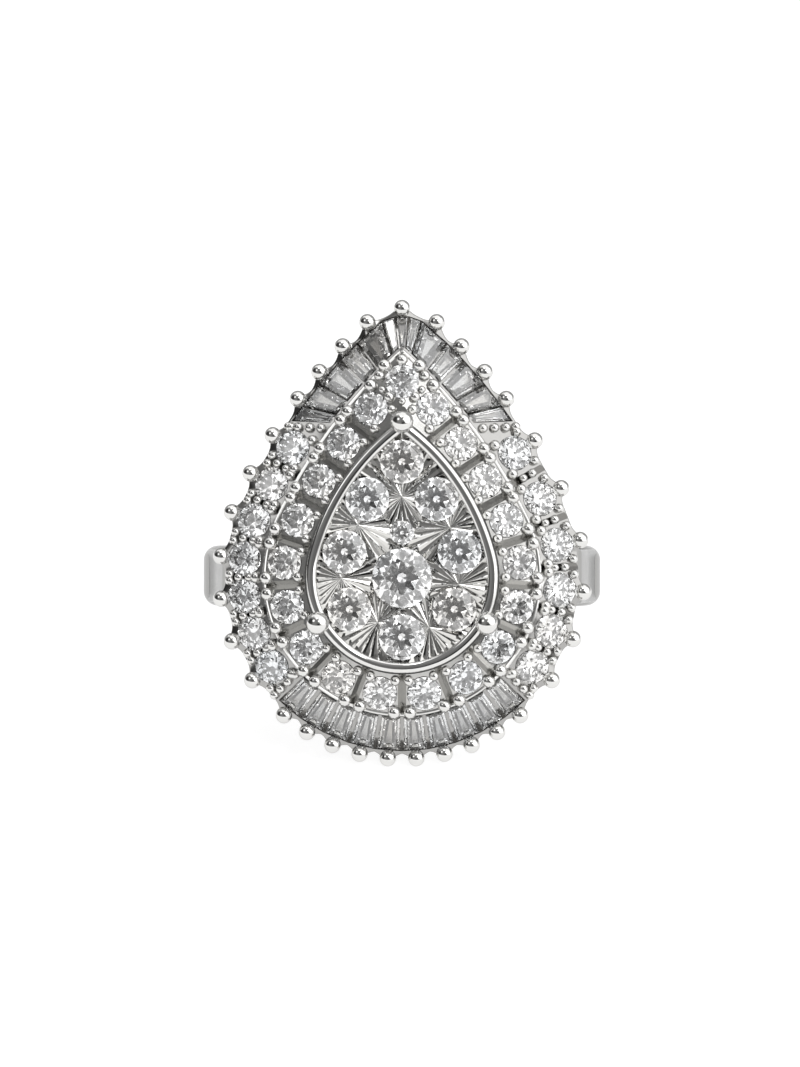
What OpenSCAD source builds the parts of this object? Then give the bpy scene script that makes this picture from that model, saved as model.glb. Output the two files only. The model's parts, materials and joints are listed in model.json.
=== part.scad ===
// Pear-shaped halo cluster ring, lying on its side as it rests on a table. Millimetres.
// The ring is modelled in its own frame and laid down by rest_pose() at the end:
// x runs across the finger, y runs along the finger towards the pear's tip,
// z runs out of the face, and the origin is the middle of the finger hole.

/* [Band] */
// Inside diameter of the band
finger_d = 17.3; // [16.9:0.1:17.6]
// Thickness of the band
band_t = 1.55; // [1.45:0.05:1.65]
// Width of the band along the finger
band_w = 3.1; // [2.8:0.1:3.4]
// Radius of the band's outer corners
band_corner = 0.75; // [0.6:0.05:0.8]

/* [Head] */
// Slope of the inner halo tier
inner_slope = 13; // [11:1:14]
// Slope of the outer halo tier
outer_slope = 24; // [22:1:25]
// Radius of the balls round the edge
edge_ball_r = 0.42; // [0.38:0.01:0.44]
// Radius of the balls on the three claws
claw_ball_r = 0.57; // [0.53:0.01:0.58]
// Radius of the small setting beads
bead_r = 0.24; // [0.2:0.01:0.25]

/* [Stones] */
// Diameter of an inner halo stone
halo_d = 1.7; // [1.62:0.02:1.7]
// Diameter of a round stone of the outer halo
side_d = 1.74; // [1.66:0.02:1.76]
// Gap between a stone and its seat
seat_gap = 0.03; // [0.02:0.005:0.04]

/* [Hidden] */
$fn = 32;
HALO_STONES = 19;
CLUSTER_STONES = 10;
metal = [0.86, 0.86, 0.87];
white = [0.93, 0.95, 0.97];

finger_r = finger_d / 2;
band_r = finger_r + band_t;

// A pear outline is a round end about the origin and two flank arcs. Each pear is the
// radius that a flank has beyond the round end's, and the angle at which the two meet.
LEAD = 0;
JOIN = 1;
cluster = [7, 15];
halo = [19.1, 25];

function rad(angle) = angle * PI / 180;
function deg(turn) = turn * 180 / PI;
function polar(r, a) = [r * cos(a), r * sin(a)];

// Middle of the right flank's arc, which lies on the other side of the head
function flank_mid(pear) = -polar(pear[LEAD], pear[JOIN]);

// Angle about flank_mid at which the outline of round end r comes to its tip
function tip_angle(pear, r) = acos(-flank_mid(pear).x / (r + pear[LEAD]));
function tip_y(pear, r) = (r + pear[LEAD]) * sin(tip_angle(pear, r)) + flank_mid(pear).y;

// Point on the right flank of round end r, at an angle about flank_mid
function on_flank(pear, r, a) = flank_mid(pear) + polar(r + pear[LEAD], a);

// Point x, y and outward angle on the outline of round end r, a length s from the base's middle
function pear_at(pear, r, s) =
    let (round_end = r * rad(90 + pear[JOIN]))
    s <= round_end
        ? let (a = deg(s / r) - 90) [each polar(r, a), a]
        : let (a = pear[JOIN] + deg((s - round_end) / (r + pear[LEAD]))) [each on_flank(pear, r, a), a];
function half_length(pear, r) =
    r * rad(90 + pear[JOIN]) + (r + pear[LEAD]) * rad(tip_angle(pear, r) - pear[JOIN]);

// Radii of the head's parts, measured on the round end
collet_in = 3.9;
collet_r = 4.45;
frame_r = 4.75;
moat_r = 4.83;
step_r = 6.9;
rail_r = 8.85;
// Round end of the outline whose tip the outer halo turns about
turn_r = 6.6;
turn = [0, tip_y(halo, turn_r)];
turn_angle = tip_angle(halo, turn_r);

// Heights above the middle of the finger
foot_z = 9.05;
ledge_z = 12.35;
inner_top = 13.2;
outer_top = 12.3;
tier_t = 0.95;
plate_top = 13.5;
rim_top = 13.95;
function inner_z(r) = inner_top - (r - moat_r) * tan(inner_slope);
function outer_z(r) = outer_top - (r - step_r) * tan(outer_slope);

// Outer halo: baguettes each side of the base's middle and the angle of one
base_cells = 5;
base_step = 9;
RAIL = 0;
STEP = 1;
tip_cells = [
    // widths at the rail and at the step of half the middle cell and then of each to one end
    [0.35, 0.22], [0.7, 0.44], [1.7, 1.08], [1.25, 0.96], [1.6, 1.2], [1.4, 0.85], [0.95, 0.55]
];
last_cell = len(tip_cells) - 1;
function sum_to(n, column) = n < 0 ? 0 : tip_cells[n][column] + sum_to(n - 1, column);

// Point x, y and outward angle on the outer halo of round end r, a length s from the tip
function from_tip(r, s) =
    let (round_tip = (r - turn_r) * rad(90 - turn_angle))
    s <= round_tip
        ? let (a = 90 - deg(s / (r - turn_r))) [each (turn + polar(r - turn_r, a)), a]
        : let (a = turn_angle - deg((s - round_tip) / (r + halo[LEAD]))) [each on_flank(halo, r, a), a];
function step_from_tip(r, s) = on_flank(halo, r, tip_angle(halo, r) - deg(s / (r + halo[LEAD])));

// Right half of an outline of round end r, from the base's middle to the tip, in short steps
round_steps = 26;
flank_steps = 8;
turn_steps = 5;
function half_outline(pear, r, last_angle) = [
    for (i = [0:round_steps]) polar(r, (90 + pear[JOIN]) * i / round_steps - 90),
    for (i = [1:flank_steps])
        on_flank(pear, r, pear[JOIN] + (last_angle - pear[JOIN]) * i / flank_steps)
];
function pointed_half(r) = half_outline(halo, r, tip_angle(halo, r));
function rounded_half(r) = [
    each half_outline(halo, r, turn_angle),
    for (i = [1:turn_steps])
        turn + polar(r - turn_r, turn_angle + (90 - turn_angle) * i / turn_steps)
];
function whole(half) = [
    each half,
    for (i = [len(half) - 2:-1:1]) [-half[i].x, half[i].y]
];

// Skin through rings of points, each ring clockwise as seen along the run
module loft(rings, closed) {
    n = len(rings);
    m = len(rings[0]);
    polyhedron([for (ring = rings) each ring], [
        for (i = [0:n - (closed ? 1 : 2)]) for (j = [0:m - 1])
            let (k = (i + 1) % n, l = (j + 1) % m) [i * m + j, i * m + l, k * m + l, k * m + j],
        if (!closed) [for (j = [m - 1:-1:0]) j],
        if (!closed) [for (j = [0:m - 1]) (n - 1) * m + j]
    ]);
}

// Carries a profile of radius and height round closed outlines, one for each profile point
module sweep(outlines, heights) {
    loft([
        for (i = [0:len(outlines[0]) - 1])
            [for (j = [0:len(heights) - 1]) [each outlines[j][i], heights[j]]]
    ], true);
}

// Pear-shaped prism with a blunt tip, its arcs in short straight faces
module pear_prism(r, low, high) {
    steps = 20;
    half = [
        for (i = [0:steps]) pear_at(cluster, r, half_length(cluster, r) * i / steps)
    ];
    translate([0, 0, low]) linear_extrude(high - low) polygon([
        for (p = half) [p.x, p.y],
        for (i = [steps - 1:-1:1]) [-half[i].x, half[i].y]
    ]);
}

// Puts a piece at a point x, y and outward angle, its x pointing outwards and down a slope
module set_at(p, z, slope) {
    translate([p.x, p.y, z]) rotate([0, 0, p[2]]) rotate([0, slope, 0]) children();
}

// Places of the ten cluster stones
X = 0;
Y = 1;
D = 2;
cluster_table = [
    // x, y, diameter
    [0, 5.72, 2.2], [-1.72, 3.86, 2.2], [1.72, 3.86, 2.2], [0, 2.2, 1.2], [-2.85, 1.25, 2.2],
    [2.85, 1.25, 2.2], [0, -0.05, 3], [-2.6, -1.6, 2.2], [2.6, -1.6, 2.2], [0, -2.98, 2.3]
];

halo_r = 5.88;
halo_pitch = 2 * half_length(halo, halo_r) / HALO_STONES;
halo_tip_y = 9.7;
// Point x, y and outward angle of halo stone i, counted from the tip down the right and up the left
function halo_place(i) =
    i == 1 ? [0, halo_tip_y, 90]
    : i <= 10 ? pear_at(halo, halo_r, halo_pitch * (10.5 - i))
    : let (p = pear_at(halo, halo_r, halo_pitch * (i - 10.5))) [-p.x, p.y, 180 - p[2]];

side_r = 7.86;
// Lengths from the base's middle to the round stones of the outer halo, on each side
RIGHT = 0;
LEFT = 1;
flanks = [
    [7.6, 9.6, 11.7, 13.95, 16.4, 19],
    [7.6, 9.5, 11.4, 13.25, 15.2, 17.2, 19.3]
];
function side_place(s) = pear_at(halo, side_r, s);

// Brilliant, from its girdle's lower edge; the girdle's corners are a sixteenth of a turn apart
table_part = 0.56;
crown_part = 0.15;
star_part = 0.8;
girdle_part = 0.035;
pavilion_part = 0.43;
lower_part = 0.36;
module brilliant(d) {
    r = d / 2;
    half_turn = 22.5;
    table_r = r * table_part;
    star_r = r * star_part;
    lower_r = r * lower_part;
    girdle = d * girdle_part;
    crown = d * crown_part;
    depth = d * pavilion_part;
    star_z = crown * (r - star_r * cos(half_turn)) / (r - table_r);
    lower_z = -depth * (1 - lower_r * cos(half_turn) / r);
    points = [
        for (k = [0:7]) [each polar(table_r, k * 45), girdle + crown],
        for (k = [0:7]) [each polar(star_r, k * 45 + half_turn), girdle + star_z],
        for (k = [0:15]) [each polar(r, k * half_turn), girdle],
        for (k = [0:15]) [each polar(r, k * half_turn), 0],
        for (k = [0:7]) [each polar(lower_r, k * 45 + half_turn), lower_z],
        [0, 0, -depth]
    ];
    star = 8;
    upper = 16;
    lower = 32;
    main = 48;
    culet = 56;
    polyhedron(points, [
        [for (k = [7:-1:0]) k],
        for (k = [0:7]) let (n = (k + 1) % 8) [k, n, star + k],
        for (k = [0:7]) let (n = (k + 7) % 8) [k, star + k, upper + 2 * k, star + n],
        for (k = [0:7]) [star + k, upper + 2 * k + 1, upper + 2 * k],
        for (k = [0:7]) [star + k, upper + (2 * k + 2) % 16, upper + 2 * k + 1],
        for (k = [0:15]) let (n = (k + 1) % 16) [upper + k, upper + n, lower + n, lower + k],
        for (k = [0:7]) [main + k, lower + 2 * k, lower + 2 * k + 1],
        for (k = [0:7]) [main + k, lower + 2 * k + 1, lower + (2 * k + 2) % 16],
        for (k = [0:7]) let (n = (k + 7) % 8) [culet, main + n, lower + 2 * k, main + k]
    ]);
}

// Room for a brilliant: its girdle, a cone under it and a hole through the metal
module brilliant_seat(d) {
    r = d / 2 + seat_gap;
    through_r = d * 0.22;
    steepness = 2 * pavilion_part * (1 - lower_part * cos(22.5)) / (1 - lower_part);
    drop = (r - through_r) * steepness;
    rotate_extrude() polygon([
        [0, -2], [through_r, -2], [through_r, -drop], [r, 0], [r, 1.2], [0, 1.2]
    ]);
}

// Moves the sides of a quadrilateral inwards, the first and third by one distance and its ends by another
function inset(quad, side, end) = [
    for (i = [0:3])
        let (
            before = quad[i] - quad[(i + 3) % 4], after = quad[(i + 1) % 4] - quad[i],
            n1 = [-before.y, before.x] / norm(before), n2 = [-after.y, after.x] / norm(after),
            c = n1 * n2,
            d1 = i % 2 == 0 ? end : side, d2 = i % 2 == 0 ? side : end
        )
        quad[i] + ((d1 - d2 * c) * n1 + (d2 - d1 * c) * n2) / (1 - c * c)
];

// Tapered baguette on an anticlockwise quadrilateral whose first side runs along it, cut down to a keel
module baguette(quad) {
    width = min(norm(quad[3] - quad[0]), norm(quad[2] - quad[1]));
    layers = [
        // inset of the sides in widths, inset of the ends, height, rise over that height in widths
        [0.2, 0.1, 0.03, 0.15], [0, 0, 0.03, 0], [0, 0, -0.03, 0], [0.2, 0.1, -0.03, -0.285],
        [0.44, 0.2, -0.03, -0.49]
    ];
    points = [
        for (layer = layers)
            for (p = inset(quad, layer[0] * width, layer[1])) [p.x, p.y, layer[2] + layer[3] * width]
    ];
    last = 4 * (len(layers) - 1);
    polyhedron(points, [
        [3, 2, 1, 0],
        for (k = [0:4:last - 4]) for (i = [0:3])
            let (n = (i + 1) % 4) [k + i, k + n, k + 4 + n, k + 4 + i],
        [for (i = [0:3]) last + i]
    ]);
}

// Baguette between two edges of its cell, anticlockwise, each an inner and an outer point x, y
module cell_stone(first, second, side_gap) {
    end_gap = 0.05;
    middle = (first[0] + first[1] + second[0] + second[1]) / 4;
    along = first[1] + second[1] - first[0] - second[0];
    a = atan2(along.y, along.x);
    flat = [
        for (p = [first[0], first[1], second[1], second[0]])
            let (v = p - middle) [(v * polar(1, a)) / cos(outer_slope), v * polar(1, a + 90)]
    ];
    set_at([each middle, a], cell_z, outer_slope) baguette(inset(flat, side_gap, end_gap));
}
cell_in = 6.96;
cell_out = 8.66;
// Gap between a baguette's side and its cell's edge, at the tip and under the round end
tip_gap = 0.06;
base_gap = 0.09;
cell_z = outer_z((cell_in + cell_out) / 2) - 0.04;

function mirrored(edge) = [for (p = edge) [-p.x, p.y]];
function base_edge(i) = [polar(cell_in, base_step * i - 90), polar(cell_out, base_step * i - 90)];
function tip_edge(i) =
    let (out = from_tip(cell_out, sum_to(i, RAIL) * cell_out / rail_r))
    [step_from_tip(cell_in + 0.1, sum_to(i, STEP)), [out.x, out.y]];

// Edge posts: point x, y and outward angle
post_r = 9.05;
tip_posts = 4;
post_pitch = 1.72;
post_wire = 0.21;
function pushed_out(p, d) = [p.x + d * cos(p[2]), p.y + d * sin(p[2]), p[2]];
function tip_post(i) = from_tip(post_r, i == 0 ? 0 : sum_to(1, RAIL) + (i - 0.5) * post_pitch);
function posts(side) = [
    for (i = [1:base_cells]) let (a = base_step * (i - 0.5) - 90) [each polar(post_r, a), a],
    for (s = flanks[side]) pushed_out(side_place(s), post_r - side_r),
    for (i = [1:tip_posts]) tip_post(i)
];
gallery_r = 8.35;
gallery_z = 10;
wire_r = 0.33;
ball_z = outer_z(rail_r) + 0.47;

module band() {
    corner = [
        for (a = [0:30:90])
            [band_r - band_corner * (1 - cos(a)), band_w / 2 - band_corner * (1 - sin(a))]
    ];
    rotate([90, 0, 0]) rotate_extrude() polygon([
        [finger_r, -band_w / 2],
        for (i = [len(corner) - 1:-1:0]) [corner[i].x, -corner[i].y],
        for (p = corner) p,
        [finger_r, band_w / 2]
    ]);
}

// Bar from the band up to the gallery and the outer tier, on each side of the finger
module shoulders() {
    width = band_w - 0.4;
    for (side = [0, 1])
        mirror([side, 0, 0]) rotate([90, 0, 0]) translate([0, 0, -width / 2]) linear_extrude(width)
            polygon([
                [band_r - 0.9, 1.5], [band_r - 0.25, 1.9], [9, 9.4], [8.6, 10.9], [7.5, 10.95], [6.85, 10.6],
                [7.2, 8.6], [8.4, 5]
            ]);
}

// Edge post with its ball, at the ball's middle
module post() {
    lean = atan2(post_r - gallery_r, ball_z - gallery_z);
    sphere(edge_ball_r);
    rotate([0, 180 + lean, 0]) cylinder(h = norm([post_r - gallery_r, ball_z - gallery_z]), r = post_wire);
}

// Setting beads at the four corners of a stone, each out and along from its middle
module corner_beads(out, along, r) {
    for (x = [-out, out]) for (y = [-along, along]) translate([x, y, 0.08]) sphere(r);
}

module inner_tier() {
    inner = 4.2;
    difference() {
        union() {
            sweep(
                [for (r = [inner, step_r, step_r, inner]) whole(pointed_half(r))],
                [inner_z(inner) - tier_t, inner_z(step_r) - tier_t, inner_z(step_r), inner_z(inner)]
            );
            for (i = [1:HALO_STONES])
                set_at(halo_place(i), inner_z(halo_r), inner_slope) corner_beads(0.79, 0.81, bead_r);
        }
        for (i = [1:HALO_STONES]) set_at(halo_place(i), inner_z(halo_r), inner_slope) brilliant_seat(halo_d);
        pear_prism(moat_r, ledge_z, rim_top + 1);
        pear_prism(collet_in, foot_z, rim_top + 1);
    }
}

module outer_tier() {
    inner = turn_r + 0.05;
    difference() {
        union() {
            sweep(
                [for (r = [inner, rail_r, rail_r, inner]) whole(rounded_half(r))],
                [outer_z(inner) - tier_t, outer_z(rail_r) - tier_t, outer_z(rail_r), outer_z(inner)]
            );
            for (side = [RIGHT, LEFT]) mirror([side, 0, 0]) for (s = flanks[side])
                set_at(side_place(s), outer_z(side_r), outer_slope) corner_beads(0.75, 0.84, bead_r - 0.04);
        }
        for (side = [RIGHT, LEFT]) mirror([side, 0, 0]) for (s = flanks[side])
            set_at(side_place(s), outer_z(side_r), outer_slope) brilliant_seat(side_d);
        channel([
            for (i = [last_cell:-1:0]) tip_edge(i),
            for (i = [0:last_cell]) mirrored(tip_edge(i))
        ]);
        channel([for (i = [-base_cells:base_cells]) base_edge(i)]);
    }
}

// Channel for a fan of baguettes, open at the top, its floor at the slope of the tier.
// The edges of its cells run anticlockwise as seen from above.
module channel(edges) {
    room = 0.03;
    depth = 0.75;
    open_z = outer_top + 1;
    loft([
        for (e = edges)
            let (past = room * (e[1] - e[0]) / norm(e[1] - e[0]), inside = e[0] - past, outside = e[1] + past)
            [
                [each inside, outer_z(cell_in) - depth], [each outside, outer_z(cell_out) - depth],
                [each outside, open_z], [each inside, open_z]
            ]
    ], false);
}

module gallery_wire() {
    sweep(
        [for (a = [0:60:300]) whole(rounded_half(gallery_r + wire_r * cos(a)))],
        [for (a = [0:60:300]) gallery_z + wire_r * sin(a)]
    );
}

// Three claws over the rim: the foot's middle x, y and the ball's middle x, y
claw_z = rim_top + 0.62;
claw_wire = 0.25;
claws = [[[0, 8.2], [0, 7.68]], [[4.61, -2.19], [4.18, -2.28]], [[-4.61, -2.19], [-4.18, -2.28]]];
module claw(foot, ball) {
    translate([foot.x, foot.y, inner_top - 0.6]) cylinder(h = claw_z - inner_top + 0.6, r = claw_wire);
    translate([ball.x, ball.y, claw_z]) sphere(claw_ball_r);
}

module ring_mount() color(metal) difference() {
    union() {
        band();
        shoulders();
        difference() {
            pear_prism(collet_r, foot_z, ledge_z);
            pear_prism(collet_in, foot_z - 1, ledge_z + 1);
        }
        inner_tier();
        outer_tier();
        gallery_wire();
        for (side = [RIGHT, LEFT]) mirror([side, 0, 0])
            for (p = posts(side)) translate([0, 0, ball_z]) set_at(p, 0, 0) post();
        translate([0, 0, ball_z]) set_at(tip_post(0), 0, 0) post();
        for (c = claws) claw(c[0], c[1]);
    }
    rotate([90, 0, 0]) cylinder(h = 4 * band_w, r = finger_r, center = true);
}

module cluster_frame() color(metal) difference() {
    pear_prism(frame_r, ledge_z + seat_gap, rim_top);
    pear_prism(frame_r - 0.5, plate_top, rim_top + 1);
    for (s = cluster_table) translate([s[X], s[Y], plate_top]) brilliant_seat(s[D]);
}

module cluster_stone(i) color(white)
    translate([cluster_table[i - 1][X], cluster_table[i - 1][Y], plate_top])
        brilliant(cluster_table[i - 1][D]);

module halo_stone(i) color(white)
    set_at(halo_place(i), inner_z(halo_r), inner_slope) brilliant(halo_d);

module side_row(side) color(white)
    mirror([side, 0, 0]) for (s = flanks[side])
        set_at(side_place(s), outer_z(side_r), outer_slope) brilliant(side_d);

module tip_baguettes() color(white) {
    for (side = [0, 1]) mirror([side, 0, 0])
        for (i = [1:last_cell]) cell_stone(tip_edge(i), tip_edge(i - 1), tip_gap);
    cell_stone(tip_edge(0), mirrored(tip_edge(0)), tip_gap);
}

module base_baguettes() color(white)
    for (side = [0, 1]) mirror([side, 0, 0])
        for (i = [1:base_cells]) cell_stone(base_edge(i - 1), base_edge(i), base_gap);

// How far the face leans back from upright: the ring lies on the band's rounded back edge
// and on the two lowest edge balls, each a circle in the plane across the ring
back_edge = [-(band_w / 2 - band_corner), -(band_r - band_corner)];
low_ball = [-post_r * cos(base_step / 2), ball_z];
lean = atan2(back_edge.y - low_ball.y, back_edge.x - low_ball.x)
    + acos((band_corner - edge_ball_r) / norm(back_edge - low_ball));
floor_z = back_edge * polar(1, lean) - band_corner;
// Foremost and hindmost reach of the ring as it lies
front_y = [claws[1][1].y, claw_z] * polar(1, lean - 90) - claw_ball_r;
back_y = [-back_edge.x, back_edge.y] * polar(1, lean - 90) + band_corner;
module rest_pose() {
    translate([0, -(front_y + back_y) / 2, -floor_z]) rotate([90 - lean, 0, 0]) children();
}

rest_pose() ring_mount();
rest_pose() cluster_frame();
for (i = [1:CLUSTER_STONES])
    rest_pose() cluster_stone(i);
for (i = [1:HALO_STONES])
    rest_pose() halo_stone(i);
rest_pose() side_row(LEFT);  // side_stones_left
rest_pose() side_row(RIGHT);  // side_stones_right
rest_pose() tip_baguettes();
rest_pose() base_baguettes();
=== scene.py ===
"""Dresses the halo ring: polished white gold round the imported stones, on a pale floor under soft light."""

import json
import logging
import math
from collections.abc import Callable, Iterable, Sequence
from dataclasses import dataclass, field
from enum import Enum

import bmesh
import bpy
from mathutils import Matrix, Vector


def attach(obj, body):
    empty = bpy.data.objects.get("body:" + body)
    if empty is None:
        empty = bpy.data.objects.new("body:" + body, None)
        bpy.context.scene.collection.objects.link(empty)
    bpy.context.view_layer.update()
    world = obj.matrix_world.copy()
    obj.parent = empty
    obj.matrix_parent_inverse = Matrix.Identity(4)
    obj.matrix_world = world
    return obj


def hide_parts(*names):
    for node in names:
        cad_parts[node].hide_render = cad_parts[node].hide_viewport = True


log = logging.getLogger("halo_ring")
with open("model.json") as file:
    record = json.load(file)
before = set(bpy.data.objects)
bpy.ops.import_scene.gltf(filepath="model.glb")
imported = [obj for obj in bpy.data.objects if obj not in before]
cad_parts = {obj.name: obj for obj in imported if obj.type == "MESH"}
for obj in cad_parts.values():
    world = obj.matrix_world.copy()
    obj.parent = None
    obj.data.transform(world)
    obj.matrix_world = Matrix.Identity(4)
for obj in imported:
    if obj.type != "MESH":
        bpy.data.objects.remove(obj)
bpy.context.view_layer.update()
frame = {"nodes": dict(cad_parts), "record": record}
MM = 0.001
GAP = 0.03  # between pieces that aren't soldered, in millimetres
NEAR = 0.01  # within which two sizes count as the same, in millimetres

Loop = list[Vector]


class Slot(Enum):
    """The record's material slots."""

    WHITE_GOLD = "white_gold"
    DIAMOND = "diamond"


class Cut(Enum):
    """How one solid is combined with another."""

    AWAY = "DIFFERENCE"
    SHARED = "INTERSECT"


def polar(radius: float, degrees: float) -> Vector:
    """Point on a circle about the origin, at height 0."""
    angle = math.radians(degrees)
    return Vector((radius * math.cos(angle), radius * math.sin(angle), 0.0))


def raised(point: Vector, height: float) -> Vector:
    """The same point at another height."""
    return Vector((point.x, point.y, height))


def resting_place() -> Matrix:
    """Reads from the finger hole's mount how the ring lies.

    Returns:
        The matrix from the ring's own frame in millimetres (x across the finger, y along it towards the
        pear's tip, z out of the face, origin in the middle of the finger) to the row frame in metres.
    """
    mount = frame["record"]["mounts"][0]
    across = Vector((1.0, 0.0, 0.0))
    along = Vector(mount["axis"]).normalized()
    out = across.cross(along)
    turn = Matrix((across, along, out)).transposed().to_4x4()
    return Matrix.Translation(mount["pos_m"]) @ turn @ Matrix.Scale(MM, 4)


REST = resting_place()


@dataclass(frozen=True)
class Place:
    """A spot on the head.

    Attributes:
        point: The spot, at height 0.
        angle: Its outward angle, in degrees.
        height: Its height.
        slope: Slope down outwards, in degrees.
    """

    point: Vector
    angle: float
    height: float = 0.0
    slope: float = 0.0

    def matrix(self) -> Matrix:
        """Turns a piece's x outwards and down the slope, and moves it to the spot.

        Returns:
            The matrix that does so.
        """
        turn = Matrix.Rotation(math.radians(self.angle), 4, "Z")
        tilt = Matrix.Rotation(math.radians(self.slope), 4, "Y")
        return Matrix.Translation(raised(self.point, self.height)) @ turn @ tilt

    def mirrored(self) -> "Place":
        """The same spot on the other half of the head."""
        return Place(Vector((-self.point.x, self.point.y, 0)), 180 - self.angle, self.height, self.slope)


@dataclass(frozen=True)
class Pear:
    """Pear outline: a round end about the origin and two flank arcs that meet it.

    Attributes:
        lead: Radius that a flank has beyond the round end's.
        join: Angle in degrees at which round end and flank meet.
        turn_r: Round end of the outline about whose tip the outer ones are rounded, or None for a pointed tip.
    """

    lead: float
    join: float
    turn_r: float | None = None

    @property
    def flank_mid(self) -> Vector:
        """Middle of the right flank's arc."""
        return -polar(self.lead, self.join)

    def tip_angle(self, r: float) -> float:
        """Angle about the flank's middle at which the outline of round end r comes to its tip."""
        return math.degrees(math.acos(-self.flank_mid.x / (r + self.lead)))

    def on_flank(self, r: float, angle: float) -> Vector:
        """Point on the right flank of round end r."""
        return self.flank_mid + polar(r + self.lead, angle)

    def tip(self, r: float) -> Vector:
        """Pointed tip of the outline of round end r."""
        return self.on_flank(r, self.tip_angle(r))

    def last_angle(self, r: float) -> float:
        """Angle about the flank's middle at which the flank ends."""
        return self.tip_angle(r if self.turn_r is None else self.turn_r)

    def half_length(self, r: float) -> float:
        """Measures half of an outline.

        Args:
            r: Radius of the outline's round end.

        Returns:
            The length from the base's middle to the tip.
        """
        end = self.last_angle(r)
        rounded = 0.0 if self.turn_r is None else (r - self.turn_r) * math.radians(90 - end)
        flank = (r + self.lead) * math.radians(end - self.join)
        return r * math.radians(90 + self.join) + flank + rounded

    def at(self, r: float, s: float) -> Place:
        """Spot on the right half of the outline.

        Args:
            r: Radius of the outline's round end.
            s: Length along the outline from the base's middle.

        Returns:
            The spot, with the outline's outward angle.
        """
        end = self.last_angle(r)
        base = r * math.radians(90 + self.join)
        flank = (r + self.lead) * math.radians(end - self.join)
        if s <= base:
            angle = math.degrees(s / r) - 90
            return Place(polar(r, angle), angle)
        if s <= base + flank or self.turn_r is None:
            angle = self.join + math.degrees((s - base) / (r + self.lead))
            return Place(self.on_flank(r, angle), angle)
        angle = end + math.degrees((s - base - flank) / (r - self.turn_r))
        return Place(self.tip(self.turn_r) + polar(r - self.turn_r, angle), angle)

    def from_tip(self, r: float, s: float) -> Place:
        """Spot a length s down the right half from the tip."""
        return self.at(r, self.half_length(r) - s)

    def outline(self, r: float, count: int) -> Loop:
        """Whole outline of round end r, anticlockwise from the base's middle.

        Args:
            r: Radius of the outline's round end.
            count: Number of points, an even number, so that one is the tip.

        Returns:
            The points, at height 0.
        """
        half = count // 2
        length = self.half_length(r)
        right = [self.at(r, length * i / half).point for i in range(half + 1)]
        return right + [Vector((-p.x, p.y, 0.0)) for p in reversed(right[1:-1])]


CLUSTER = Pear(lead=7.0, join=15.0)
HALO = Pear(lead=19.1, join=25.0)
ROUNDED = Pear(lead=19.1, join=25.0, turn_r=6.6)


@dataclass(frozen=True)
class Levels:
    """Heights above the middle of the finger, and round ends of the outlines where pieces meet, in millimetres.

    Attributes:
        foot: Lower edge of the collet.
        ledge: Ledge on which the cluster's frame stands.
        inner_top: Inner tier at the moat.
        outer_top: Outer tier at the step.
        plate: Top of the cluster's plate.
        rim: Top of the rim.
        collet_r: Inside of the collet.
        moat_r: Edge of the room for the cluster's frame.
        step_r: Step from the inner tier to the outer one.
        rail_r: Edge of the outer tier.
        inner_slope: Slope of the inner tier, in degrees.
        outer_slope: Slope of the outer tier, in degrees.
    """

    foot: float = 9.05
    ledge: float = 12.35
    inner_top: float = 13.2
    outer_top: float = 12.3
    plate: float = 13.5
    rim: float = 13.95
    collet_r: float = 3.9
    moat_r: float = 4.83
    step_r: float = 6.9
    rail_r: float = 8.85
    inner_slope: float = 13.0
    outer_slope: float = 24.0

    def inner(self, r: float) -> float:
        """Height of the inner tier's surface."""
        return self.inner_top - (r - self.moat_r) * math.tan(math.radians(self.inner_slope))

    def outer(self, r: float) -> float:
        """Height of the outer tier's surface."""
        return self.outer_top - (r - self.step_r) * math.tan(math.radians(self.outer_slope))


LEVELS = Levels()


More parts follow.
